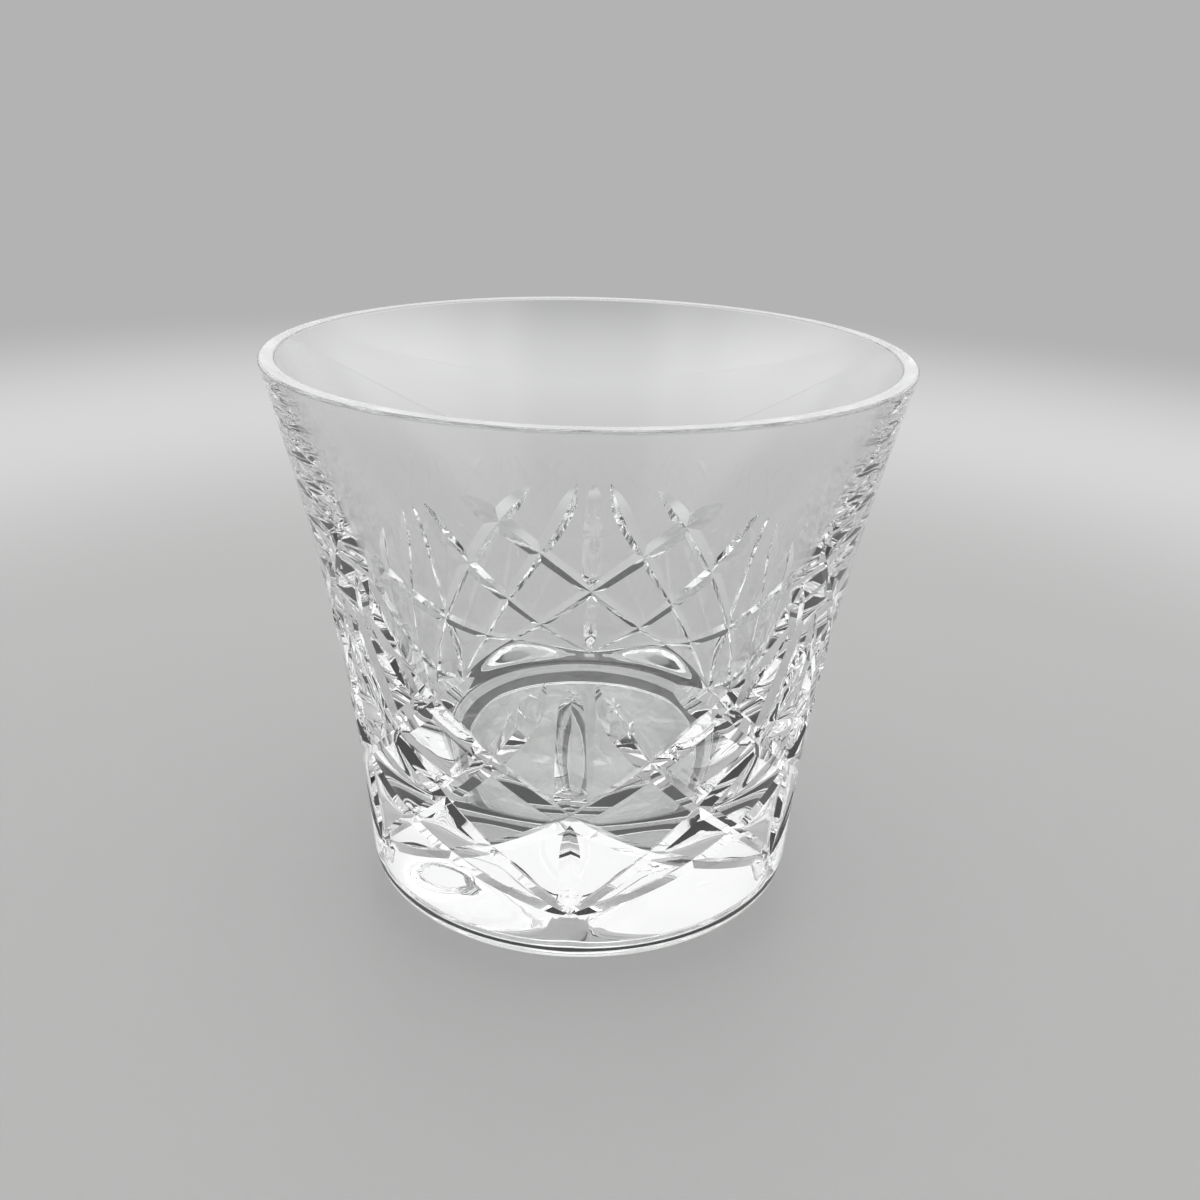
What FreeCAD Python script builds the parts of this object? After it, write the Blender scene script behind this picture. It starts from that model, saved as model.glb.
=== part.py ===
"""A cut crystal whiskey tumbler, in millimetres, standing on Z = 0 with its axis on Z.

The blank is one revolved solid: a flared wall that hollows inwards, a heavy base, and a bore that is
a straight cone with a rounded corner down to a flat floor.
The outside carries a lattice of mitre cuts, each made with a V shaped cutter that follows a path on
the wall and rises out of the glass at both ends, as the cutter's stone wheel does:
- two long cuts lean left and right through each star, from a foot point to a tip;
- two steep cuts lean left and right between the stars, from a foot point to a tip beside a leaf;
- an upper leaf and a lower leaf stand upright above and below each star.
Angles round the wall start at -Y and grow towards +X.
"""

import FreeCAD
import Part

import math
import os

# Blank: outside
HEIGHT = 83.0
RIM_RADIUS = 47.0
FOOT_RADIUS = 34.0
SIDE_HOLLOW = 2.1  # how far the middle of the side bows in from a straight cone
RIM_WALL = 2.4
RIM_BEVEL = 0.45  # the rim is ground flat and bevelled inside and out
HEEL_BEVEL = 1.1
PLAIN_BAND_HEIGHT = 8.6  # the side is plain below this height and above the next one
PLAIN_WALL_HEIGHT = 49.0

# Blank: inside and underside
BASE_THICKNESS = 16.0
FLOOR_RADIUS = 24.9  # where the bore's cone would meet the floor, before the corner is rounded
BORE_CORNER_RADIUS = 7.0
RECESS_RADIUS = 26.0  # a shallow recess underneath leaves a foot ring to stand on
RECESS_DEPTH = 0.7

# Lattice: heights of its points, and turns round the wall in shares of the way from star to star
REPEATS = 6
FRONT_STAR_ANGLE = -2.2
STAR_HEIGHT = 25.9
FOOT_POINT_HEIGHT = 9.2
LONG_LOWER_CROSSING_HEIGHT = 16.1
LONG_UPPER_CROSSING_HEIGHT = 41.3
LONG_TIP_TURN = 0.69
LONG_TIP_HEIGHT = 47.4
STEEP_TIP_TURN = 0.08
STEEP_TIP_HEIGHT = 48.0
STEEP_SHOULDER_TURN = 0.293
STEEP_SHOULDER_HEIGHT = 33.7
STEEP_CROSSING_HEIGHT = 25.5
LEAF_TIP_HEIGHT = 47.8

# Cuts: the wheel's angle, how deep it goes, and how long it takes to come out of the glass
MITRE_ANGLE = 100.0
LINE_FOOT_DEPTH = 0.5
LINE_TIP_DEPTH = 1.6
UPPER_LEAF_DEPTH = 2.1
UPPER_LEAF_TIP_DEPTH = 1.15
LOWER_LEAF_DEPTH = 1.35
TIP_RUN_OUT = 8.0
FOOT_RUN_OUT = 4.0
STAR_RUN_OUT = 3.5
LEAF_TIP_RUN_OUT = 3.5
LOWER_LEAF_RUN_OUT = 7.0

# Cutter solids
CUTTER_OVERHANG = 1.6  # how far a cutter stands out of the wall
SECTION_SPACING = 5.0  # along a cut, between the cutter's sections

AXIS = FreeCAD.Vector(0, 0, 1)
CENTRE = FreeCAD.Vector(0, 0, 0)
PERIOD = 360.0 / REPEATS
SIDE_TOP = HEIGHT - RIM_BEVEL


# ---------------------------------------------------------------- the blank

def side_bow_radius():
    """Radius of the side's arc, whose middle lies SIDE_HOLLOW inside the chord from foot to rim."""
    chord = math.hypot(RIM_RADIUS - FOOT_RADIUS, SIDE_TOP)
    return chord ** 2 / (8 * SIDE_HOLLOW) + SIDE_HOLLOW / 2


def side_bow_centre():
    """Centre of the side's arc, as (radius, height): it lies outside the glass."""
    run = RIM_RADIUS - FOOT_RADIUS
    chord = math.hypot(run, SIDE_TOP)
    reach = side_bow_radius() - SIDE_HOLLOW
    radius = (FOOT_RADIUS + RIM_RADIUS) / 2 + reach * SIDE_TOP / chord
    return radius, SIDE_TOP / 2 - reach * run / chord


def side_radius(height):
    """Radius of the uncut side at a height."""
    radius, middle = side_bow_centre()
    return radius - math.sqrt(side_bow_radius() ** 2 - (height - middle) ** 2)


def side_slope(height):
    """How fast the side's radius grows with height."""
    radius, middle = side_bow_centre()
    return (height - middle) / (radius - side_radius(height))


def profile_point(radius, height):
    return FreeCAD.Vector(0, -radius, height)


def side_point(height):
    return profile_point(side_radius(height), height)


def side_stretch(bottom, top):
    """The part of the side's arc between two heights."""
    return Part.Arc(side_point(bottom), side_point((bottom + top) / 2), side_point(top)).toShape()


def straight_runs(points):
    return [Part.makeLine(start, end) for start, end in zip(points, points[1:])]


def rounded_corner(before, corner, after, radius):
    """Start, middle and end of the arc that rounds a corner between two straight runs."""
    back = (before - corner).normalize()
    onward = (after - corner).normalize()
    half_angle = back.getAngle(onward) / 2
    setback = radius / math.tan(half_angle)
    bisector = (back + onward).normalize()
    middle = corner + bisector * (radius / math.sin(half_angle) - radius)
    return corner + back * setback, middle, corner + onward * setback


def blank():
    """The uncut tumbler: its half section turned about the axis."""
    underside = [
        profile_point(0, RECESS_DEPTH),
        profile_point(RECESS_RADIUS - RECESS_DEPTH, RECESS_DEPTH),
        profile_point(RECESS_RADIUS, 0),
        profile_point(FOOT_RADIUS - HEEL_BEVEL, 0),
        side_point(HEEL_BEVEL),
    ]
    rim = [
        side_point(SIDE_TOP),
        profile_point(RIM_RADIUS - RIM_BEVEL, HEIGHT),
        profile_point(RIM_RADIUS - RIM_WALL + RIM_BEVEL, HEIGHT),
        profile_point(RIM_RADIUS - RIM_WALL, SIDE_TOP),
    ]
    floor_corner = profile_point(FLOOR_RADIUS, BASE_THICKNESS)
    floor_centre = profile_point(0, BASE_THICKNESS)
    bore_corner = rounded_corner(rim[-1], floor_corner, floor_centre, BORE_CORNER_RADIUS)

    section = Part.Face(Part.Wire([
        *straight_runs(underside),
        side_stretch(HEEL_BEVEL, PLAIN_BAND_HEIGHT),
        side_stretch(PLAIN_BAND_HEIGHT, PLAIN_WALL_HEIGHT),
        side_stretch(PLAIN_WALL_HEIGHT, SIDE_TOP),
        *straight_runs(rim),
        Part.makeLine(rim[-1], bore_corner[0]),
        Part.Arc(*bore_corner).toShape(),
        *straight_runs([bore_corner[2], floor_centre, underside[0]]),
    ]))
    seam_angle = FRONT_STAR_ANGLE + PERIOD / 6  # the seam runs between a leaf and the crossings
    section.rotate(CENTRE, AXIS, 180 + seam_angle)
    return section.revolve(CENTRE, AXIS, 360)


# ---------------------------------------------------------------- the cuts

def wall_point(turn, height):
    """Point of the uncut side; turn 0 is at the front star and turn 1 at the next one."""
    angle = math.radians(FRONT_STAR_ANGLE + PERIOD * turn)
    radius = side_radius(height)
    return FreeCAD.Vector(radius * math.sin(angle), -radius * math.cos(angle), height)


def wall_normal(turn, height):
    """Outward normal of the uncut side."""
    angle = math.radians(FRONT_STAR_ANGLE + PERIOD * turn)
    normal = FreeCAD.Vector(math.sin(angle), -math.cos(angle), -side_slope(height))
    return normal.normalize()


class WallPath:
    """A smooth path on the wall through (turn, height) stations, measured by its length in mm."""

    def __init__(self, stations):
        turn_scale = PERIOD * math.radians(1) * side_radius(STAR_HEIGHT)
        flat = [FreeCAD.Vector(turn * turn_scale, height, 0) for turn, height in stations]
        self.turn_scale = turn_scale
        self.curve = Part.BSplineCurve()
        self.curve.interpolate(flat)
        self.length = self.curve.length()

    def spot(self, distance):
        """(turn, height) at a distance from the start; past an end it runs straight on."""
        inside = min(max(distance, 0), self.length)
        parameter = self.curve.parameterAtDistance(inside, self.curve.FirstParameter)
        point = self.curve.value(parameter)
        ahead = FreeCAD.Vector(*self.curve.tangent(parameter)[0])
        point = point + ahead * (distance - inside)
        return point.x / self.turn_scale, point.y


def run_out(distance, length):
    """Share of full depth at a distance from an end: the wheel comes out of the glass on an arc."""
    if distance >= length:
        return 1.0
    return 1 - (1 - distance / length) ** 2


def cutter_section(path, distance, depth):
    """Triangle across a cut: its apex lies at the depth, its other side stands out of the wall."""
    here = wall_point(*path.spot(distance))
    out = wall_normal(*path.spot(distance))
    step = 0.05
    along = wall_point(*path.spot(distance + step)) - wall_point(*path.spot(distance - step))
    across = out.cross(along).normalize()
    half_width = (depth + CUTTER_OVERHANG) * math.tan(math.radians(MITRE_ANGLE / 2))
    top = here + out * CUTTER_OVERHANG
    return Part.makePolygon([here - out * depth, top + across * half_width, top - across * half_width,
                             here - out * depth])


def cutter(stations, depths, run_outs):
    """V shaped solid along a wall path; depth and run-out are given at its first and last end.

    The depth changes with the square of the way along, so most of the change lies near the last end.
    """
    path = WallPath(stations)
    first_run, last_run = run_outs
    last_start = path.length - last_run
    middle_count = max(1, round((last_start - first_run) / SECTION_SPACING))
    middle_step = (last_start - first_run) / middle_count
    shares = (-0.25, 0.0, 0.25, 0.5, 0.75)
    distances = [share * first_run for share in shares]
    distances += [first_run + middle_step * step for step in range(middle_count + 1)]
    distances += [path.length - share * last_run for share in reversed(shares)]

    sections = []
    for distance in distances:
        depth = depths[0] + (depths[1] - depths[0]) * (distance / path.length) ** 2
        depth *= run_out(distance, first_run) * run_out(path.length - distance, last_run)
        sections.append(cutter_section(path, distance, depth))
    return Part.makeLoft(sections, True, False)


def mirrored(stations):
    return [(-turn, height) for turn, height in stations]


def long_cut_stations():
    """From the foot point of the star before, through the star, to a tip beyond it."""
    return [
        (-1, FOOT_POINT_HEIGHT),
        (-0.5, LONG_LOWER_CROSSING_HEIGHT),
        (0, STAR_HEIGHT),
        (0.5, LONG_UPPER_CROSSING_HEIGHT),
        (LONG_TIP_TURN, LONG_TIP_HEIGHT),
    ]


def steep_cut_stations():
    """From the foot point of the next star up to a tip beside this star's upper leaf."""
    return [
        (1, FOOT_POINT_HEIGHT),
        (0.5, STEEP_CROSSING_HEIGHT),
        (STEEP_SHOULDER_TURN, STEEP_SHOULDER_HEIGHT),
        (STEEP_TIP_TURN, STEEP_TIP_HEIGHT),
    ]


def star_cutters():
    """The six cutters that belong to the front star."""
    line_depths = (LINE_FOOT_DEPTH, LINE_TIP_DEPTH)
    line_run_outs = (FOOT_RUN_OUT, TIP_RUN_OUT)
    cutters = []
    for stations in (long_cut_stations(), steep_cut_stations()):
        cutters.append(cutter(stations, line_depths, line_run_outs))
        cutters.append(cutter(mirrored(stations), line_depths, line_run_outs))
    upper_leaf = [(0, STAR_HEIGHT), (0, LEAF_TIP_HEIGHT)]
    upper_depths = (UPPER_LEAF_DEPTH, UPPER_LEAF_TIP_DEPTH)
    cutters.append(cutter(upper_leaf, upper_depths, (STAR_RUN_OUT, LEAF_TIP_RUN_OUT)))
    lower_leaf = [(0, FOOT_POINT_HEIGHT), (0, STAR_HEIGHT)]
    lower_depths = (LOWER_LEAF_DEPTH, LOWER_LEAF_DEPTH)
    cutters.append(cutter(lower_leaf, lower_depths, (LOWER_LEAF_RUN_OUT, LOWER_LEAF_RUN_OUT)))
    return cutters


def ring(solid):
    """Copies of a front star's cutter, one for each star round the wall."""
    copies = []
    for index in range(REPEATS):
        turned = solid.copy()
        turned.rotate(CENTRE, AXIS, PERIOD * index)
        copies.append(turned)
    return copies


def main():
    os.makedirs("parts", exist_ok=True)
    tumbler = blank()
    for solid in star_cutters():
        tumbler = tumbler.cut(ring(solid))
    tumbler.exportStep("parts/tumbler.step")


if __name__ == "__main__":
    main()
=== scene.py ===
"""A cut crystal whiskey tumbler on a pale studio floor.

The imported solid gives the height. The tumbler that shows is a finer one: a turned blank, cut by
six rings of mitre cutters, with the true normals of the turned surfaces. A ring holds the same cut
for each star. The floor, the tent and the camera are one piece of studio.
"""

import math

import bmesh
import bpy
import numpy as np
from bpy.props import FloatProperty, FloatVectorProperty, IntProperty, PointerProperty
from mathutils import Matrix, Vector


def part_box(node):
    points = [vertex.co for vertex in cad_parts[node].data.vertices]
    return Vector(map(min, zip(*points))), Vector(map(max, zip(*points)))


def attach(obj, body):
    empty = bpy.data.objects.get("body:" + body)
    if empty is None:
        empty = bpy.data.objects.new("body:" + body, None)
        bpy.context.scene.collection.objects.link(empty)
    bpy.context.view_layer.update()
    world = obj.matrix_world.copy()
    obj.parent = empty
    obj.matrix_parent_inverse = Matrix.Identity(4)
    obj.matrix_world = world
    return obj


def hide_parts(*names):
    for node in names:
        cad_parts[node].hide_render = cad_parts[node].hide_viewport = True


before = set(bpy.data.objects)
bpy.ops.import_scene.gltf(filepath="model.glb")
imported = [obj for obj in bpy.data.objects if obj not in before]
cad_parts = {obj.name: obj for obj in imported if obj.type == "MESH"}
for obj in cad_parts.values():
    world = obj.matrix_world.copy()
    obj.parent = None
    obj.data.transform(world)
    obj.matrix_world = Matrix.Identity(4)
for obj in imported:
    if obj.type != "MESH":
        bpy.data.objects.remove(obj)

bl_info = {
    "name": "Cut Crystal Tumbler",
    "version": (1, 0, 0),
    "blender": (4, 5, 0),
    "location": "View3D > Sidebar > Tumbler",
    "description": "Builds a cut crystal whiskey tumbler and a plain studio around it",
    "category": "Add Mesh",
}

MM = 0.001
SOLID_HEIGHT = float(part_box("tumbler")[1][2])
JOIN_DISTANCE = 0.002 * MM
FLAT_AREA = 0.0001 * MM * MM
SHARP_ANGLE = math.radians(24)
TINY = 1e-9
CAMERA_SENSOR = 36
FLOOR_RADII = (0.3, 0.8, 2.0, 6.0)
FLOOR_CORNERS = 96

# Where the tent changes: pairs of the parts of a unit ray, between which one cloth turns into the
# next. Up and down they are sines of the elevation.
HORIZON_TO_TENT = (0.05, 0.16)
TENT_TO_ZENITH = (0.75, 1.0)
OPENING_FORWARD = (-0.74, -0.9)
OPENING_UP = (0.06, 0.2)
SIDES_OUT = (0.72, 0.96)
SIDES_UP = (0.04, 0.14)

# Light goes round in the thick base many times, and each turn counts as a glossy bounce.
BOUNCES = {"max_bounces": 32, "glossy_bounces": 24, "transmission_bounces": 16}


# ---------------------------------------------------------------- sizes and colours

def length(name, description, millimetres):
    return FloatProperty(name=name, description=description, default=millimetres * MM,
                         unit="LENGTH", precision=5)


def turn(name, description, degrees):
    return FloatProperty(name=name, description=description, default=math.radians(degrees),
                         subtype="ANGLE", unit="ROTATION")


def factor(name, description, value):
    return FloatProperty(name=name, description=description, default=value, subtype="FACTOR")


def colour(name, description, *values):
    return FloatVectorProperty(name=name, description=description, default=values,
                               subtype="COLOR", size=3, min=0, max=1)


class TUMBLER_PG_blank(bpy.types.PropertyGroup):
    """Sizes of the uncut glass."""

    height: length("Height", "From the foot to the rim", SOLID_HEIGHT / MM)
    rim_radius: length("Rim radius", "Outside radius at the rim", 47.0)
    foot_radius: length("Foot radius", "Radius where the side would meet the floor", 34.0)
    side_hollow: length("Side hollow", "How far the side bows in from a straight cone", 2.1)
    rim_wall: length("Rim wall", "Thickness of the wall at the rim", 2.4)
    rim_round: length("Rim round", "Radius of the two edges of the rim", 0.45)
    heel_round: length("Heel round", "Radius of the edge round the foot", 3.2)
    base_thickness: length("Base thickness", "From the foot to the floor of the bowl", 16.8)
    floor_radius: length("Floor radius", "Where the bore's cone would meet the floor", 24.9)
    bore_corner: length("Bore corner", "Radius between the bore and its floor", 9.0)
    recess_radius: length("Recess radius", "Radius of the recess underneath", 26.0)
    recess_depth: length("Recess depth", "Depth of the recess underneath", 0.7)
    recess_round: length("Recess round", "Radius of the edges of the recess", 0.6)
    segments: IntProperty(name="Segments", description="Facets round the lathe", default=384)


class TUMBLER_PG_lattice(bpy.types.PropertyGroup):
    """Where the cuts run: heights, and turns as shares of the way from one star to the next."""

    repeats: IntProperty(name="Repeats", description="Stars round the wall", default=6)
    front_star: turn("Front star", "Angle of the front star from -Y towards +X", -2.2)
    star_height: length("Star height", "Height of the stars", 25.9)
    foot_height: length("Foot point height", "Height of the points at the foot", 9.2)
    lower_crossing: length("Lower crossing", "Where two long cuts cross below", 16.1)
    upper_crossing: length("Upper crossing", "Where two long cuts cross above", 41.3)
    long_tip_turn: factor("Long tip turn", "Turn of a long cut's tip from its star", 0.69)
    long_tip_height: length("Long tip height", "Height of a long cut's tip", 47.4)
    steep_tip_turn: factor("Steep tip turn", "Turn of a steep cut's tip from a star", 0.08)
    steep_tip_height: length("Steep tip height", "Height of a steep cut's tip", 48.0)
    shoulder_turn: factor("Shoulder turn", "Turn of a steep cut's shoulder from a star", 0.293)
    shoulder_height: length("Shoulder height", "Height of a steep cut's shoulder", 33.7)
    steep_crossing: length("Steep crossing", "Where two steep cuts cross", 25.5)
    leaf_tip_height: length("Leaf tip height", "Height of an upper leaf's tip", 47.8)


class TUMBLER_PG_cuts(bpy.types.PropertyGroup):
    """The mitre wheel's angle, its depths, and how long it takes to come out of the glass."""

    mitre: turn("Mitre angle", "Angle between the two sides of a cut", 112.0)
    line_foot_depth: length("Line foot depth", "Depth of a long or steep cut at its foot", 0.55)
    line_tip_depth: length("Line tip depth", "Depth of a long or steep cut at its tip", 1.6)
    upper_leaf_depth: length("Upper leaf depth", "Depth of an upper leaf near its star", 1.6)
    leaf_tip_depth: length("Leaf tip depth", "Depth of an upper leaf near its tip", 0.95)
    lower_leaf_depth: length("Lower leaf depth", "Depth of a lower leaf", 1.02)
    tip_run: length("Tip run-out", "Run-out at the tips of the long and steep cuts", 8.0)
    foot_run: length("Foot run-out", "Run-out at the foot points", 4.0)
    star_run: length("Star run-out", "Run-out of an upper leaf at its star", 3.5)
    leaf_tip_run: length("Leaf tip run-out", "Run-out of an upper leaf at its tip", 3.5)
    lower_leaf_run: length("Lower leaf run-out", "Run-out of a lower leaf at both ends", 7.0)
    overhang: length("Overhang", "How far a cutter stands out of the wall", 1.0)
    spacing: length("Spacing", "Distance between a cutter's sections", 0.7)
    edge_slope: factor("Edge slope", "Slope of the glass that polishing has rounded by a cut", 0.22)
    edge_reach: length("Edge reach", "How far that rounding reaches from a cut", 2.0)
    edge_middle: length("Edge middle", "Half width of the turn over the middle of a cut", 0.3)
    edge_full_below: length("Edge full below", "Height below which the rounding is full", 20.0)
    edge_none_above: length("Edge none above", "Height above which there is none", 28.0)


class TUMBLER_PG_glass(bpy.types.PropertyGroup):
    """The look of the crystal."""

    tint: colour("Tint", "Colour that each surface gives to the light", 0.992, 0.998, 0.996)
    ior: FloatProperty(name="Refraction", description="Index of refraction", default=1.545)
    shade_open: colour("Clear shade", "Light that passes a wall face on", 0.99, 1.0, 0.995)
    shade_edge: colour("Edge shade", "Light that passes a wall edge on", 0.74, 0.75, 0.745)
    wall_ripple: length("Wall ripple", "Height of the ripple on the turned walls", 0.04)
    wall_smear: factor("Wall smear", "Roughness of the turned walls where they are dulled", 0.03)
    facet_ripple: length("Facet ripple", "Height of the ripple on the cuts", 0.03)
    facet_smear: factor("Facet smear", "Roughness of the cuts where they are dulled", 0.05)
    rim_colour: colour("Rim", "Colour of the satin rim", 0.96, 0.97, 0.965)
    rim_clearness: factor("Rim clearness", "Share of the light that passes the rim", 0.65)
    rim_roughness: factor("Rim roughness", "Roughness of the satin rim", 0.2)


class TUMBLER_PG_studio(bpy.types.PropertyGroup):
    """Floor, light and camera."""

    floor_colour: colour("Floor", "Colour of the floor", 0.39, 0.39, 0.387)
    # Painted light: the floor behind shines by emission in this colour, in place of the tent's
    # light falling on it.
    painted_glow: colour("Glow", "Floor behind, where it catches the light of the tent", 0.68, 0.68, 0.68)
    horizon: colour("Horizon", "Background level with the eye", 0.45, 0.45, 0.45)
    tent: colour("Tent", "White cloth behind, beside and above", 1.0, 1.0, 1.0)
    opening: colour("Opening", "The dim room at the open front of the tent", 0.28, 0.28, 0.285)
    zenith: colour("Zenith", "Background straight above", 0.9, 0.9, 0.9)
    side_light: FloatProperty(name="Side light", description="Brightness of the tent's two sides",
                              default=1.5)
    # Distances at which the painted pool of light on the floor fades in, is full, and fades into
    # the backdrop.
    painted_glow_start: length("Glow start", "Distance at which the floor starts to glow", 150.0)
    painted_glow_full: length("Glow full", "Distance at which the glow is full", 310.0)
    painted_glow_end: length("Glow end", "Distance at which the glow has turned into background", 540.0)
    top_light: FloatProperty(name="Top light", description="Power of the soft top light in watts",
                             default=2.6)
    top_light_height: length("Top light height", "Height of the soft top light", 1100.0)
    top_light_size: length("Top light size", "Side of the square top light", 600.0)
    lens: FloatProperty(name="Lens", description="Focal length of the camera", default=38.37,
                        unit="CAMERA")
    camera_place: FloatVectorProperty(name="Camera", description="Where the camera stands",
                                      default=(0, -0.1857, 0.1195), subtype="TRANSLATION",
                                      unit="LENGTH")
    camera_pitch: turn("Pitch", "How far the camera looks down", 22.25)
    camera_yaw: turn("Yaw", "How far the camera looks to the right", 0.74)
    camera_roll: turn("Roll", "How far the camera leans to the left", 1.446)


# ---------------------------------------------------------------- half section of the blank

def side_bow(blank):
    """Centre and radius of the side's arc, as (radius, height) and a length.

    The arc stands on the chord from foot to rim and its middle lies side_hollow inside it, so its
    radius is chord squared over eight times the hollow, plus half the hollow.
    """
    run, rise = blank.rim_radius - blank.foot_radius, blank.height
    chord = math.hypot(run, rise)
    bow = chord ** 2 / (8 * blank.side_hollow) + blank.side_hollow / 2
    reach = bow - blank.side_hollow
    middle = (blank.foot_radius + blank.rim_radius) / 2 + reach * rise / chord
    return middle, rise / 2 - reach * run / chord, bow


def side_radius(blank, height):
    """The arc's centre less the root of bow radius squared minus height above it squared."""
    middle, level, bow = side_bow(blank)
    return middle - np.sqrt(bow ** 2 - (height - level) ** 2)


def side_slope(blank, height):
    """Growth of the side's radius with height: height above the centre over depth inside it."""
    middle, level, _ = side_bow(blank)
    return (height - level) / (middle - side_radius(blank, height))


def line(start, end, steps):
    """Start plus t times the way to the end, for t from 0 to 1."""
    start, end = np.asarray(start), np.asarray(end)
    return start + (end - start) * np.linspace(0, 1, steps + 1)[:, None]


def corner(before, point, after, radius, steps):
    """The arc of a radius that touches both runs at a corner.

    It starts a setback of radius over the tangent of half the corner's angle before the point, and
    its centre lies radius over the sine of that half angle along the bisector. A point of it is
    the centre plus both touching points' arms, weighted by sines of the turn that is left and made.
    """
    before, point, after = (np.asarray(p, float) for p in (before, point, after))
    back = (before - point) / np.linalg.norm(before - point)
    onward = (after - point) / np.linalg.norm(after - point)
    half = math.acos(np.clip(back @ onward, -1, 1)) / 2
    centre = point + (back + onward) / np.linalg.norm(back + onward) * radius / math.sin(half)
    first = point + back * radius / math.tan(half) - centre
    last = point + onward * radius / math.tan(half) - centre
    sweep = math.pi - 2 * half
    made = np.linspace(0, sweep, steps + 1)[:, None]
    return centre + (first * np.sin(sweep - made) + last * np.sin(made)) / math.sin(sweep)


def half_section(blank):
    """Stretches of points (radius, height), from the middle of the underside to the bowl's floor.

    Each stretch is smooth, and its next one starts where it ends.
    """
    top, foot, rim = blank.height, blank.foot_radius, blank.rim_radius
    slope_foot = float(side_slope(blank, 0.0))
    slope_rim = float(side_slope(blank, top))
    inner_rim = (rim - blank.rim_wall, top)
    floor_corner = (blank.floor_radius, blank.base_thickness)
    floor_middle = (0.0, blank.base_thickness)
    recess = blank.recess_radius, blank.recess_depth
    cove = corner((0, recess[1]), (recess[0] - recess[1], recess[1]), (recess[0], 0),
                  blank.recess_round, 5)
    ring = corner((recess[0] - recess[1], recess[1]), (recess[0], 0), (foot, 0),
                  blank.recess_round, 5)
    heel = corner((recess[0], 0), (foot, 0), (foot + slope_foot, 1.0), blank.heel_round, 8)
    outer_lip = corner((rim - slope_rim, top - 1.0), (rim, top), inner_rim, blank.rim_round, 6)
    inner_lip = corner((rim, top), inner_rim, floor_corner, blank.rim_round, 6)
    bowl_corner = corner(inner_rim, floor_corner, floor_middle, blank.bore_corner, 30)
    heights = np.linspace(heel[-1, 1], outer_lip[0, 1], 49)
    side = np.stack([side_radius(blank, heights), heights], 1)
    return [
        line((0, recess[1]), cove[0], 6), cove, line(cove[-1], ring[0], 1), ring,
        line(ring[-1], heel[0], 2), heel, side, outer_lip,
        line(outer_lip[-1], inner_lip[0], 1), inner_lip,
        line(inner_lip[-1], bowl_corner[0], 12), bowl_corner,
        line(bowl_corner[-1], floor_middle, 6),
    ]


def section_normals(stretch):
    """Normals of a stretch: its direction turned a quarter towards the outside of the glass."""
    order = 2 if len(stretch) > 2 else 1
    along = np.gradient(stretch, axis=0, edge_order=order)
    along /= np.linalg.norm(along, axis=1, keepdims=True)
    return np.stack([along[:, 1], -along[:, 0]], 1)


# ---------------------------------------------------------------- meshes

def new_mesh(name, vertices, faces):
    mesh = bpy.data.meshes.new(name)
    mesh.from_pydata(vertices.tolist(), [], faces)
    mesh.validate()
    return mesh


def face_numbers(mesh, name, values):
    mesh.attributes.new(name, "INT", "FACE").data.foreach_set("value", values)


def values_of(rows, name, width=1, kind=float):
    """The values of a field for every row, as one array with a column for each part of it."""
    values = np.empty(len(rows) * width, kind)
    rows.foreach_get(name, values)
    return values.reshape(-1, width) if width > 1 else values


def lathe(name, stretches, segments):
    """Surface of revolution: point (r, h) at turn a lies at (r cos a, r sin a, h).

    The section starts and ends on the axis, where a single point closes the surface. Each face
    keeps the number of its stretch.
    """
    points = np.concatenate([stretches[0][:1]] + [stretch[1:] for stretch in stretches])
    stretch_of = np.repeat(np.arange(len(stretches)), [len(s) - 1 for s in stretches])
    turns = np.arange(segments) * 2 * np.pi / segments
    rings = points[1:-1]
    grid = np.stack([rings[:, :1] * np.cos(turns), rings[:, :1] * np.sin(turns),
                     np.repeat(rings[:, 1:], segments, 1)], 2)
    vertices = np.concatenate([grid.reshape(-1, 3), [[0, 0, points[0, 1]], [0, 0, points[-1, 1]]]])
    here = np.arange(segments)
    after = np.roll(here, -1)
    rows = np.arange(len(rings) - 1)[:, None] * segments
    quads = np.stack([rows + here, rows + after, rows + segments + after,
                      rows + segments + here], 2)
    bottom = np.full(segments, len(vertices) - 2)
    last = (len(rings) - 1) * segments
    first_fan = np.stack([bottom, after, here], 1)
    last_fan = np.stack([last + here, last + after, bottom + 1], 1)
    faces = first_fan.tolist() + quads.reshape(-1, 4).tolist() + last_fan.tolist()
    mesh = new_mesh(name, vertices, faces)
    face_numbers(mesh, "stretch", np.repeat(stretch_of, segments))
    return mesh


# ---------------------------------------------------------------- the cuts

def wall(blank, lattice, turns, heights):
    """Points and outward normals of the uncut side.

    At angle a from -Y and radius r the point is (r sin a, -r cos a, height), and the normal is
    (sin a, -cos a, minus the slope) made one long.
    """
    angle = lattice.front_star + turns * 2 * math.pi / lattice.repeats
    radius = side_radius(blank, heights)
    points = np.stack([radius * np.sin(angle), -radius * np.cos(angle), heights], 1)
    normals = np.stack([np.sin(angle), -np.cos(angle), -side_slope(blank, heights)], 1)
    return points, normals / np.linalg.norm(normals, axis=1, keepdims=True)


def run_out(distance, run):
    """Share of full depth: one less the square of the part of the run-out still to come."""
    return 1 - np.clip(1 - distance / run, 0, None) ** 2


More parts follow.
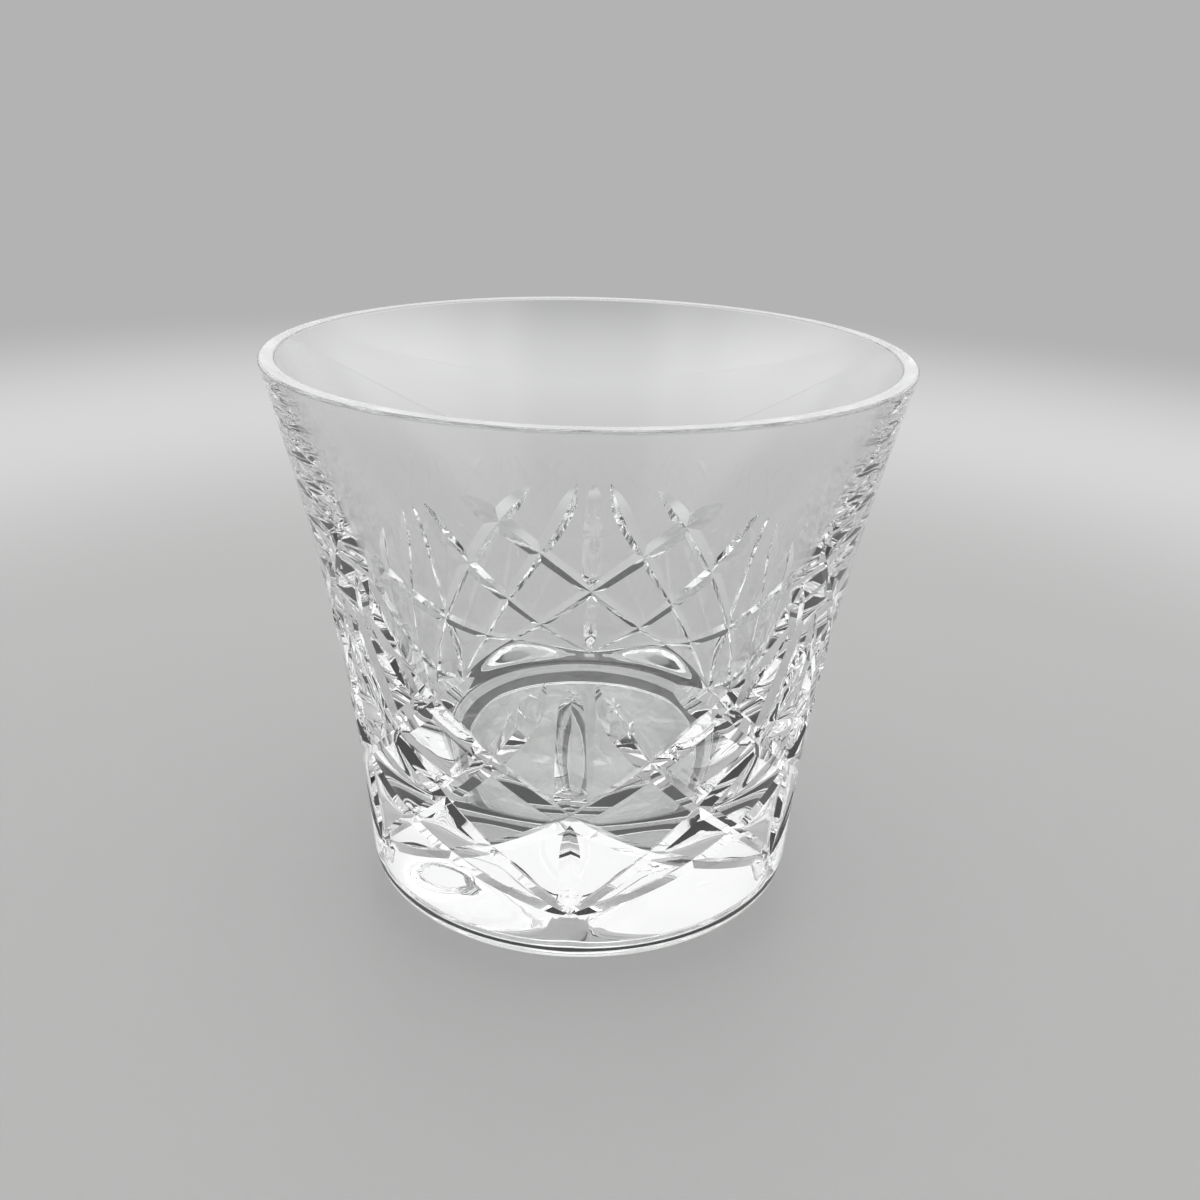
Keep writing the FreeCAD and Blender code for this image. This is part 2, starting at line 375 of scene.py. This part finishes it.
def cutter(blank, lattice, cuts, stations, depths, runs):
    """A V profile carried along a smooth path on the wall.

    The path is the polynomial through the stations (turn, height), measured by the length of its
    chords. Across it the profile is a triangle: its apex lies at the depth, its other side stands
    out of the wall by the overhang, and its half width is that height times the tangent of half
    the mitre angle. The depth changes with the square of the way along.
    """
    stations = np.array(stations)
    scale = side_radius(blank, lattice.star_height) * 2 * math.pi / lattice.repeats
    steps = np.hypot(np.diff(stations[:, 0]) * scale, np.diff(stations[:, 1]))
    marks = np.concatenate([[0], np.cumsum(steps)])
    total = marks[-1]
    count = int((total + (runs[0] + runs[1]) / 4) / cuts.spacing)
    distance = np.linspace(-runs[0] / 4, total + runs[1] / 4, count)
    powers = np.vander(marks / total)
    turns, heights = (np.polyval(np.linalg.solve(powers, values), distance / total)
                      for values in stations.T)
    here, out = wall(blank, lattice, turns, heights)
    across = np.cross(out, np.gradient(here, axis=0))
    across /= np.linalg.norm(across, axis=1, keepdims=True)
    depth = depths[0] + (depths[1] - depths[0]) * (distance / total) ** 2
    depth = depth * run_out(distance, runs[0]) * run_out(total - distance, runs[1])
    half = ((depth + cuts.overhang) * math.tan(cuts.mitre / 2))[:, None]
    apex = here - out * depth[:, None]
    top = here + out * cuts.overhang
    return np.stack([apex, top + across * half, top - across * half], 1)


def mirrored(stations):
    return [(-turn, height) for turn, height in stations]


def star_cutters(blank, lattice, cuts):
    """The six cutters that belong to the front star."""
    long_cut = [(-1, lattice.foot_height), (-0.5, lattice.lower_crossing), (0, lattice.star_height),
                (0.5, lattice.upper_crossing), (lattice.long_tip_turn, lattice.long_tip_height)]
    steep_cut = [(1, lattice.foot_height), (0.5, lattice.steep_crossing),
                 (lattice.shoulder_turn, lattice.shoulder_height),
                 (lattice.steep_tip_turn, lattice.steep_tip_height)]
    upper_leaf = [(0, lattice.star_height), (0, lattice.leaf_tip_height)]
    lower_leaf = [(0, lattice.foot_height), (0, lattice.star_height)]
    line_depths = (cuts.line_foot_depth, cuts.line_tip_depth)
    line_runs = (cuts.foot_run, cuts.tip_run)
    plan = [(path, line_depths, line_runs) for stations in (long_cut, steep_cut)
            for path in (stations, mirrored(stations))]
    plan.append((upper_leaf, (cuts.upper_leaf_depth, cuts.leaf_tip_depth),
                 (cuts.star_run, cuts.leaf_tip_run)))
    plan.append((lower_leaf, (cuts.lower_leaf_depth,) * 2, (cuts.lower_leaf_run,) * 2))
    return [cutter(blank, lattice, cuts, *entry) for entry in plan]


def cutter_ring(name, sections, repeats):
    """Closed prisms over the sections, one for each star: each turned by its share of a circle."""
    turns = np.arange(repeats) * 2 * np.pi / repeats
    cosine, sine, zero, one = np.cos(turns), np.sin(turns), np.zeros(repeats), np.ones(repeats)
    spin = np.stack([cosine, -sine, zero, sine, cosine, zero, zero, zero, one], 1).reshape(-1, 3, 3)
    vertices = np.einsum("kij,nj->kni", spin, sections.reshape(-1, 3)).reshape(-1, 3)
    count = len(sections)
    rows = np.arange(count - 1)[:, None] * 3
    here, after = np.array([0, 1, 2]), np.array([1, 2, 0])
    quads = np.stack([rows + here, rows + after, rows + 3 + after, rows + 3 + here], 2)
    quads = quads.reshape(-1, 4)
    starts = np.arange(repeats)[:, None, None] * count * 3
    sides = (quads[None] + starts).reshape(-1, 4).tolist()
    ends = np.array([[2, 1, 0], [count * 3 - 3, count * 3 - 2, count * 3 - 1]])
    caps = (ends[None] + starts).reshape(-1, 3).tolist()
    mesh = new_mesh(name, vertices, sides + caps)
    face_numbers(mesh, "stretch", np.full(len(mesh.polygons), -1))
    return mesh


def outward(mesh):
    """Turns every face round if the mesh encloses a negative volume."""
    mesh.calc_loop_triangles()
    corners = values_of(mesh.loop_triangles, "vertices", 3, int)
    a, b, c = np.moveaxis(values_of(mesh.vertices, "co", 3)[corners], 1, 0)
    if np.einsum("ij,ij->", a, np.cross(b, c)) < 0:
        mesh.flip_normals()
    return mesh


def cut_mesh(blank_mesh, cutter_meshes):
    """The blank with every ring of cutters taken out of it."""
    glass = bpy.data.objects.new("blank", blank_mesh)
    bpy.context.scene.collection.objects.link(glass)
    tools = []
    for number, mesh in enumerate(cutter_meshes):
        tool = bpy.data.objects.new(f"cutter_{number}", mesh)
        bpy.context.scene.collection.objects.link(tool)
        cut = glass.modifiers.new(f"cut_{number}", "BOOLEAN")
        cut.operation, cut.solver, cut.material_mode = "DIFFERENCE", "MANIFOLD", "INDEX"
        cut.object = tool
        tools.append(tool)
    bpy.context.view_layer.update()
    depsgraph = bpy.context.evaluated_depsgraph_get()
    mesh = bpy.data.meshes.new_from_object(glass.evaluated_get(depsgraph))
    for spare in [glass, *tools]:
        bpy.data.objects.remove(spare)
    return without_slivers(mesh)


def without_slivers(mesh):
    """Joins corners closer than the join distance, and drops pairs of faces folded up flat."""
    fine = bmesh.new()
    fine.from_mesh(mesh)
    bmesh.ops.remove_doubles(fine, verts=fine.verts, dist=JOIN_DISTANCE)
    bmesh.ops.dissolve_degenerate(fine, dist=JOIN_DISTANCE, edges=fine.edges)
    thin = [face for face in fine.faces if face.calc_area() < FLAT_AREA]
    folded = [face for face in thin
              if len({other for edge in face.edges for other in edge.link_faces}) == 2]
    bmesh.ops.delete(fine, geom=folded, context="FACES")
    fine.to_mesh(mesh)
    fine.free()
    return mesh


def polished_edges(cuts, ring, repeats, places):
    """How far polishing has tipped the wall's normals towards the cuts of a ring.

    A place looks for the nearest section of each cut. There it has a distance d from the cut's
    edge and a way out e across the cut, and the wall falls away towards the cut with a slope of
    edge slope times exp(-d / reach), so its normal gets that slope times minus e. Past the end of
    the path by b the slope shrinks by exp(-(b / reach) squared), and it fades out with height.
    """
    tips = np.zeros_like(places)
    apex, first, second = np.moveaxis(ring, 1, 0)
    middle = (first + second) / 2
    out = middle - apex
    rise = np.linalg.norm(out, axis=1)
    out /= rise[:, None]
    across = first - second
    across /= np.linalg.norm(across, axis=1, keepdims=True)
    here = middle - out * cuts.overhang
    half = np.maximum(rise - cuts.overhang, 0) * math.tan(cuts.mitre / 2)
    along = np.cross(across, out)
    fade = cuts.edge_none_above - cuts.edge_full_below
    low = np.clip((cuts.edge_none_above - places[:, 2]) / fade, 0, 1)
    for number in range(repeats):
        turn = number * 2 * math.pi / repeats
        spin = np.array([[math.cos(turn), -math.sin(turn), 0],
                         [math.sin(turn), math.cos(turn), 0], [0, 0, 1]])
        centres = here @ spin.T
        near = np.argmin(((places[:, None] - centres[None]) ** 2).sum(2), 1)
        offset = places - centres[near]
        ways = (across @ spin.T)[near]
        sideways = (offset * ways).sum(1)
        past = np.abs((offset * (along @ spin.T)[near]).sum(1))
        past = np.maximum(past - cuts.spacing, 0)
        beyond = np.maximum(np.abs(sideways) - half[near], 0)
        slope = cuts.edge_slope * np.exp(-beyond / cuts.edge_reach - (past / cuts.edge_reach) ** 2)
        slope = slope * sideways / np.hypot(sideways, cuts.edge_middle)
        tips -= (slope * low)[:, None] * ways
    return tips


def smooth_turned_faces(mesh, stretches, tips):
    """Gives the turned faces the normals of the true section, and the cut faces smooth ones.

    A turned corner at (x, y, h) looks up its stretch's normal (n, m) by height, and takes
    (n x / r, n y / r, m), tipped by what polishing has done to it.
    """
    mesh.polygons.foreach_set("use_smooth", np.ones(len(mesh.polygons), bool))
    mesh.set_sharp_from_angle(angle=SHARP_ANGLE)
    normals = values_of(mesh.corner_normals, "vector", 3)
    vertex = values_of(mesh.loops, "vertex_index", kind=int)
    places = values_of(mesh.vertices, "co", 3)[vertex]
    stretch = values_of(mesh.attributes["stretch"].data, "value", kind=int)
    stretch = np.repeat(stretch, values_of(mesh.polygons, "loop_total", kind=int))
    for number, points in enumerate(stretches):
        mine = stretch == number
        order = np.argsort(points[:, 1], kind="stable")
        section = section_normals(points)[order]
        x, y, h = places[mine].T
        n = np.interp(h, points[order, 1], section[:, 0])
        m = np.interp(h, points[order, 1], section[:, 1])
        radius = np.maximum(np.hypot(x, y), TINY)
        normals[mine] = np.stack([n * x / radius, n * y / radius, m], 1) + tips[vertex[mine]]
    normals /= np.linalg.norm(normals, axis=1, keepdims=True)
    mesh.normals_split_custom_set(normals.tolist())


# ---------------------------------------------------------------- materials

class Nodes:
    """Adds nodes to a tree, from left to right."""

    def __init__(self, tree):
        self.tree = tree
        self.count = 0

    def put(self, value, socket):
        if isinstance(value, bpy.types.NodeSocket):
            self.tree.links.new(value, socket)
        else:
            socket.default_value = value

    def add(self, kind, settings=None, **inputs):
        node = self.tree.nodes.new(kind)
        node.location = (self.count * 220, 0)
        self.count += 1
        for key, value in (settings or {}).items():
            setattr(node, key, value)
        for key, value in inputs.items():
            self.put(value, node.inputs[key.replace("_", " ")])
        return node

    def math(self, operation, *values):
        node = self.add("ShaderNodeMath", {"operation": operation})
        for socket, value in zip(node.inputs, values):
            self.put(value, socket)
        return node.outputs[0]

    def smooth(self, value, start, end):
        """0 up to the start, 1 from the end on, and smooth between them."""
        return self.add("ShaderNodeMapRange", {"interpolation_type": "SMOOTHSTEP"}, Value=value,
                        From_Min=start, From_Max=end).outputs[0]

    def blend(self, share, first, second):
        """The first colour where the share is 0, and the second where it is 1."""
        node = self.add("ShaderNodeMix", {"data_type": "RGBA"})
        for number, value in ((0, share), (6, first), (7, second)):
            self.put(value, node.inputs[number])
        return node.outputs[2]

    def end(self, share, first, second):
        """Ends a material with the first shader where the share is 0, and else the second."""
        both = self.add("ShaderNodeMixShader", Fac=share)
        self.put(first.outputs[0], both.inputs[1])
        self.put(second.outputs[0], both.inputs[2])
        self.add("ShaderNodeOutputMaterial", Surface=both.outputs[0])


def new_material(name):
    """An empty material, and the adder of its nodes."""
    material = bpy.data.materials.new(name)
    material.use_nodes = True
    material.node_tree.nodes.clear()
    return material, Nodes(material.node_tree)


def new_group(name, inputs, outputs):
    """A shader node group with named float inputs and outputs."""
    group = bpy.data.node_groups.new(name, "ShaderNodeTree")
    for label, default in inputs:
        socket = group.interface.new_socket(name=label, in_out="INPUT",
                                            socket_type="NodeSocketFloat")
        socket.default_value = default
    for label in outputs:
        group.interface.new_socket(name=label, in_out="OUTPUT", socket_type="NodeSocketFloat")
    return group, Nodes(group)


def glass_surface_group():
    """Ripple and handling marks of polished glass.

    Ripple is a slow wave drawn out along the height, plus a finer one. Smear is the share of the
    surface dulled by handling.
    """
    group, nodes = new_group("Glass surface", [("Ripple Scale", 40.0), ("Fine Scale", 260.0),
                                               ("Fine Share", 0.2), ("Smear Scale", 60.0)],
                             ["Ripple", "Smear"])
    inside = nodes.add("NodeGroupInput").outputs
    place = nodes.add("ShaderNodeTexCoord").outputs["Object"]
    drawn = nodes.add("ShaderNodeMapping", Vector=place, Scale=(1, 1, 0.18)).outputs[0]
    slow = nodes.add("ShaderNodeTexNoise", Vector=drawn, Scale=inside["Ripple Scale"], Detail=1.0)
    fine = nodes.add("ShaderNodeTexNoise", Vector=place, Scale=inside["Fine Scale"], Detail=1.0)
    fine = nodes.math("MULTIPLY", fine.outputs["Fac"], inside["Fine Share"])
    ripple = nodes.math("ADD", slow.outputs["Fac"], fine)
    marks = nodes.add("ShaderNodeTexNoise", Vector=place, Scale=inside["Smear Scale"], Detail=5.0)
    nodes.add("NodeGroupOutput", Ripple=ripple,
              Smear=nodes.smooth(marks.outputs["Fac"], 0.48, 0.78))
    return group


def crystal(name, glass, surface, scales, ripple, smear):
    """Clear crystal whose shadow is a soft one: lamps shine through it, less so edge on."""
    material, nodes = new_material(name)
    finish = nodes.add("ShaderNodeGroup", {"node_tree": surface}, **scales)
    bump = nodes.add("ShaderNodeBump", Height=finish.outputs["Ripple"], Distance=ripple,
                     Strength=1.0)
    roughness = nodes.math("MULTIPLY", finish.outputs["Smear"], smear)
    body = nodes.add("ShaderNodeBsdfPrincipled", Base_Color=(*glass.tint, 1), Metallic=0.0,
                     Transmission_Weight=1.0, IOR=glass.ior, Roughness=roughness,
                     Normal=bump.outputs[0])
    facing = nodes.add("ShaderNodeLayerWeight", Blend=0.35)
    shade = nodes.add("ShaderNodeValToRGB", Fac=facing.outputs["Facing"])
    shade.color_ramp.elements[0].color = (*glass.shade_open, 1)
    shade.color_ramp.elements[1].color = (*glass.shade_edge, 1)
    clear = nodes.add("ShaderNodeBsdfTransparent", Color=shade.outputs[0])
    nodes.end(nodes.add("ShaderNodeLightPath").outputs["Is Shadow Ray"], body, clear)
    return material


def satin_rim(glass):
    """The ground flat of the rim: finer than frosting, but white where light falls on it."""
    material, nodes = new_material("Satin rim")
    body = nodes.add("ShaderNodeBsdfPrincipled", Base_Color=(*glass.rim_colour, 1), Metallic=0.0,
                     Transmission_Weight=glass.rim_clearness, IOR=glass.ior,
                     Roughness=glass.rim_roughness)
    clear = nodes.add("ShaderNodeBsdfTransparent", Color=(*glass.shade_edge, 1))
    nodes.end(nodes.add("ShaderNodeLightPath").outputs["Is Shadow Ray"], body, clear)
    return material


def floor_material(studio):
    """Plain pale board with the faintest grain, which turns into a plain background far off.

    By its distance from the tumbler the board turns into a painted pool of light, an emission that
    stands in for the tent's light on the floor, and that into the horizon.
    """
    material, nodes = new_material("Floor board")
    place = nodes.add("ShaderNodeTexCoord").outputs["Object"]
    grain = nodes.add("ShaderNodeTexNoise", Vector=place, Scale=900.0, Detail=3.0).outputs["Fac"]
    bump = nodes.add("ShaderNodeBump", Height=grain, Distance=0.03 * MM, Strength=0.5)
    roughness = nodes.add("ShaderNodeMapRange", Value=grain, To_Min=0.34, To_Max=0.46)
    board = nodes.add("ShaderNodeBsdfPrincipled", Base_Color=(*studio.floor_colour, 1),
                      Roughness=roughness.outputs[0], Normal=bump.outputs[0])
    away = nodes.add("ShaderNodeVectorMath", {"operation": "LENGTH"}, Vector=place).outputs["Value"]
    cloth = nodes.add("ShaderNodeValToRGB",
                      Fac=nodes.smooth(away, studio.painted_glow_full, studio.painted_glow_end))
    cloth.color_ramp.elements[0].color = (*studio.painted_glow, 1)
    cloth.color_ramp.elements[1].color = (*studio.horizon, 1)
    # Painted pool of light: past its start the floor becomes an emission, brighter than the lit
    # board, standing in for the tent's light on it; far off it turns into the plain backdrop.
    background = nodes.add("ShaderNodeEmission", Color=cloth.outputs[0], Strength=1.0)
    nodes.end(nodes.smooth(away, studio.painted_glow_start, studio.painted_glow_full), board, background)
    return material


# ---------------------------------------------------------------- operators

class TUMBLER_OT_crystal(bpy.types.Operator):
    """Turn the blank, cut it and polish it"""

    bl_idname = "tumbler.crystal"
    bl_label = "Crystal Tumbler"

    def execute(self, context):
        scene = context.scene
        blank, lattice, cuts, glass = (scene.tumbler_blank, scene.tumbler_lattice,
                                       scene.tumbler_cuts, scene.tumbler_glass)
        stretches = half_section(blank)
        turned = outward(lathe("blank", stretches, blank.segments))
        star = star_cutters(blank, lattice, cuts)
        rings = [outward(cutter_ring("cutter", sections, lattice.repeats)) for sections in star]
        mesh = cut_mesh(turned, rings)
        if len(mesh.polygons) <= len(turned.polygons):
            raise RuntimeError("the cutters took nothing out of the blank")
        places = values_of(mesh.vertices, "co", 3)
        # The bore lies well inside the foot's radius, and the whole side outside it.
        outside = np.hypot(*places.T[:2]) > blank.foot_radius * 0.99
        rounded = np.flatnonzero(outside & (places[:, 2] < cuts.edge_none_above))
        tips = np.zeros_like(places)
        for sections in star:
            tips[rounded] += polished_edges(cuts, sections, lattice.repeats, places[rounded])
        smooth_turned_faces(mesh, stretches, tips)
        mesh.name = "crystal_tumbler"
        surface = glass_surface_group()
        wall_scales = {"Ripple_Scale": 45.0, "Fine_Scale": 200.0, "Fine_Share": 0.1,
                       "Smear_Scale": 60.0}
        facet_scales = {"Ripple_Scale": 90.0, "Fine_Scale": 500.0, "Fine_Share": 0.3,
                        "Smear_Scale": 200.0}
        mesh.materials.clear()
        for material in (crystal("Polished crystal", glass, surface, wall_scales,
                                 glass.wall_ripple, glass.wall_smear),
                         crystal("Cut facets", glass, surface, facet_scales,
                                 glass.facet_ripple, glass.facet_smear),
                         satin_rim(glass)):
            mesh.materials.append(material)
        cut = values_of(mesh.attributes["stretch"].data, "value", kind=int) < 0
        rim = values_of(mesh.polygons, "center", 3)[:, 2] > blank.height - blank.rim_round * 0.1
        mesh.polygons.foreach_set("material_index", np.where(rim, 2, cut).astype(int))
        piece = bpy.data.objects.new("crystal_tumbler", mesh)
        scene.collection.objects.link(piece)
        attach(piece, "root")
        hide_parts("tumbler")
        return {"FINISHED"}


def soft_top_light(scene, studio):
    """A square soft light straight above, which looks down."""
    data = bpy.data.lights.new("top_light", "AREA")
    data.shape, data.size, data.energy = "SQUARE", studio.top_light_size, studio.top_light
    light = bpy.data.objects.new("top_light", data)
    light.location = (0, 0, studio.top_light_height)
    scene.collection.objects.link(light)


def studio_world(scene, studio):
    """A white tent, brighter at both sides and open at the front, for every kind of ray."""
    world = bpy.data.worlds.new("Studio")
    scene.world = world
    world.use_nodes = True
    world.node_tree.nodes.clear()
    nodes = Nodes(world.node_tree)
    ray = nodes.add("ShaderNodeTexCoord").outputs["Generated"]
    parts = nodes.add("ShaderNodeSeparateXYZ", Vector=ray).outputs
    ramp = nodes.add("ShaderNodeValToRGB", Fac=parts["Z"])
    ramp.color_ramp.interpolation = "EASE"
    stops = ramp.color_ramp.elements
    stops[0].position, stops[0].color = HORIZON_TO_TENT[0], (*studio.horizon, 1)
    stops[1].position, stops[1].color = TENT_TO_ZENITH[1], (*studio.zenith, 1)
    stops.new(HORIZON_TO_TENT[1]).color = (*studio.tent, 1)
    stops.new(TENT_TO_ZENITH[0]).color = (*studio.tent, 1)
    opening = nodes.math("MULTIPLY", nodes.smooth(parts["Y"], *OPENING_FORWARD),
                         nodes.smooth(parts["Z"], *OPENING_UP))
    cloth = nodes.blend(opening, ramp.outputs[0], (*studio.opening, 1))
    sideways = nodes.math("ABSOLUTE", parts["X"])
    sides = nodes.math("MULTIPLY", nodes.smooth(sideways, *SIDES_OUT),
                       nodes.smooth(parts["Z"], *SIDES_UP))
    cloth = nodes.blend(sides, cloth, (*[studio.side_light] * 3, 1))
    back = nodes.add("ShaderNodeBackground", Color=cloth, Strength=1.0)
    nodes.add("ShaderNodeOutputWorld", Surface=back.outputs[0])


def studio_floor(scene, studio):
    """A flat disc: the corners of its rings lie at (r cos a, r sin a, 0)."""
    radii = np.array(FLOOR_RADII)[:, None]
    turns = np.arange(FLOOR_CORNERS) * 2 * np.pi / FLOOR_CORNERS
    rings = np.stack([radii * np.cos(turns), radii * np.sin(turns), 0 * radii * turns], 2)
    here = np.arange(FLOOR_CORNERS)
    after = np.roll(here, -1)
    rows = np.arange(len(FLOOR_RADII) - 1)[:, None] * FLOOR_CORNERS
    quads = np.stack([rows + here, rows + FLOOR_CORNERS + here, rows + FLOOR_CORNERS + after,
                      rows + after], 2)
    mesh = new_mesh("floor", rings.reshape(-1, 3), [here.tolist()] + quads.reshape(-1, 4).tolist())
    mesh.materials.append(floor_material(studio))
    floor = bpy.data.objects.new("floor", mesh)
    scene.collection.objects.link(floor)


def studio_camera(scene, studio):
    """Camera that looks down by its pitch, right by its yaw, and leans by its roll."""
    pitch, yaw, roll = studio.camera_pitch, studio.camera_yaw, studio.camera_roll
    ahead = np.array([math.sin(yaw) * math.cos(pitch), math.cos(yaw) * math.cos(pitch),
                      -math.sin(pitch)])
    level = np.array([math.cos(yaw), -math.sin(yaw), 0])
    up = np.cross(level, ahead)
    right = math.cos(roll) * level + math.sin(roll) * up
    above = math.cos(roll) * up - math.sin(roll) * level
    data = bpy.data.cameras.new("Camera")
    data.lens, data.sensor_width = studio.lens, CAMERA_SENSOR
    data.clip_start, data.clip_end = 0.01, 100
    camera = bpy.data.objects.new("Camera", data)
    scene.collection.objects.link(camera)
    columns = np.stack([right, above, -ahead], 1)
    camera.matrix_world = (Matrix.Translation(studio.camera_place)
                           @ Matrix(columns.tolist()).to_4x4())
    scene.camera = camera


class TUMBLER_OT_studio(bpy.types.Operator):
    """Lay the floor, set the soft lights and place the camera"""

    bl_idname = "tumbler.studio"
    bl_label = "Studio"

    def execute(self, context):
        scene = context.scene
        studio = scene.tumbler_studio
        studio_floor(scene, studio)
        soft_top_light(scene, studio)
        studio_world(scene, studio)
        studio_camera(scene, studio)
        scene.view_settings.view_transform = "Standard"
        for name, count in BOUNCES.items():
            setattr(scene.cycles, name, count)
        return {"FINISHED"}


class TUMBLER_PT_panel(bpy.types.Panel):
    """Sizes, colours and the two builders"""

    bl_idname = "TUMBLER_PT_panel"
    bl_label = "Tumbler"
    bl_space_type = "VIEW_3D"
    bl_region_type = "UI"
    bl_category = "Tumbler"

    def draw(self, context):
        for operator, groups in ((TUMBLER_OT_crystal, ("blank", "lattice", "cuts", "glass")),
                                 (TUMBLER_OT_studio, ("studio",))):
            box = self.layout.box()
            for group in groups:
                settings = getattr(context.scene, f"tumbler_{group}")
                for name in settings.__annotations__:
                    box.prop(settings, name)
            box.operator(operator.bl_idname)


GROUPS = {"blank": TUMBLER_PG_blank, "lattice": TUMBLER_PG_lattice, "cuts": TUMBLER_PG_cuts,
          "glass": TUMBLER_PG_glass, "studio": TUMBLER_PG_studio}
CLASSES = (*GROUPS.values(), TUMBLER_OT_crystal, TUMBLER_OT_studio, TUMBLER_PT_panel)


def register():
    for cls in CLASSES:
        bpy.utils.register_class(cls)
    for name, group in GROUPS.items():
        setattr(bpy.types.Scene, f"tumbler_{name}", PointerProperty(type=group))


def unregister():
    for name in GROUPS:
        delattr(bpy.types.Scene, f"tumbler_{name}")
    for cls in reversed(CLASSES):
        bpy.utils.unregister_class(cls)


def main():
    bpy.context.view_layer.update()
    register()
    bpy.ops.tumbler.crystal()
    bpy.ops.tumbler.studio()


if __name__ == "__main__":
    main()
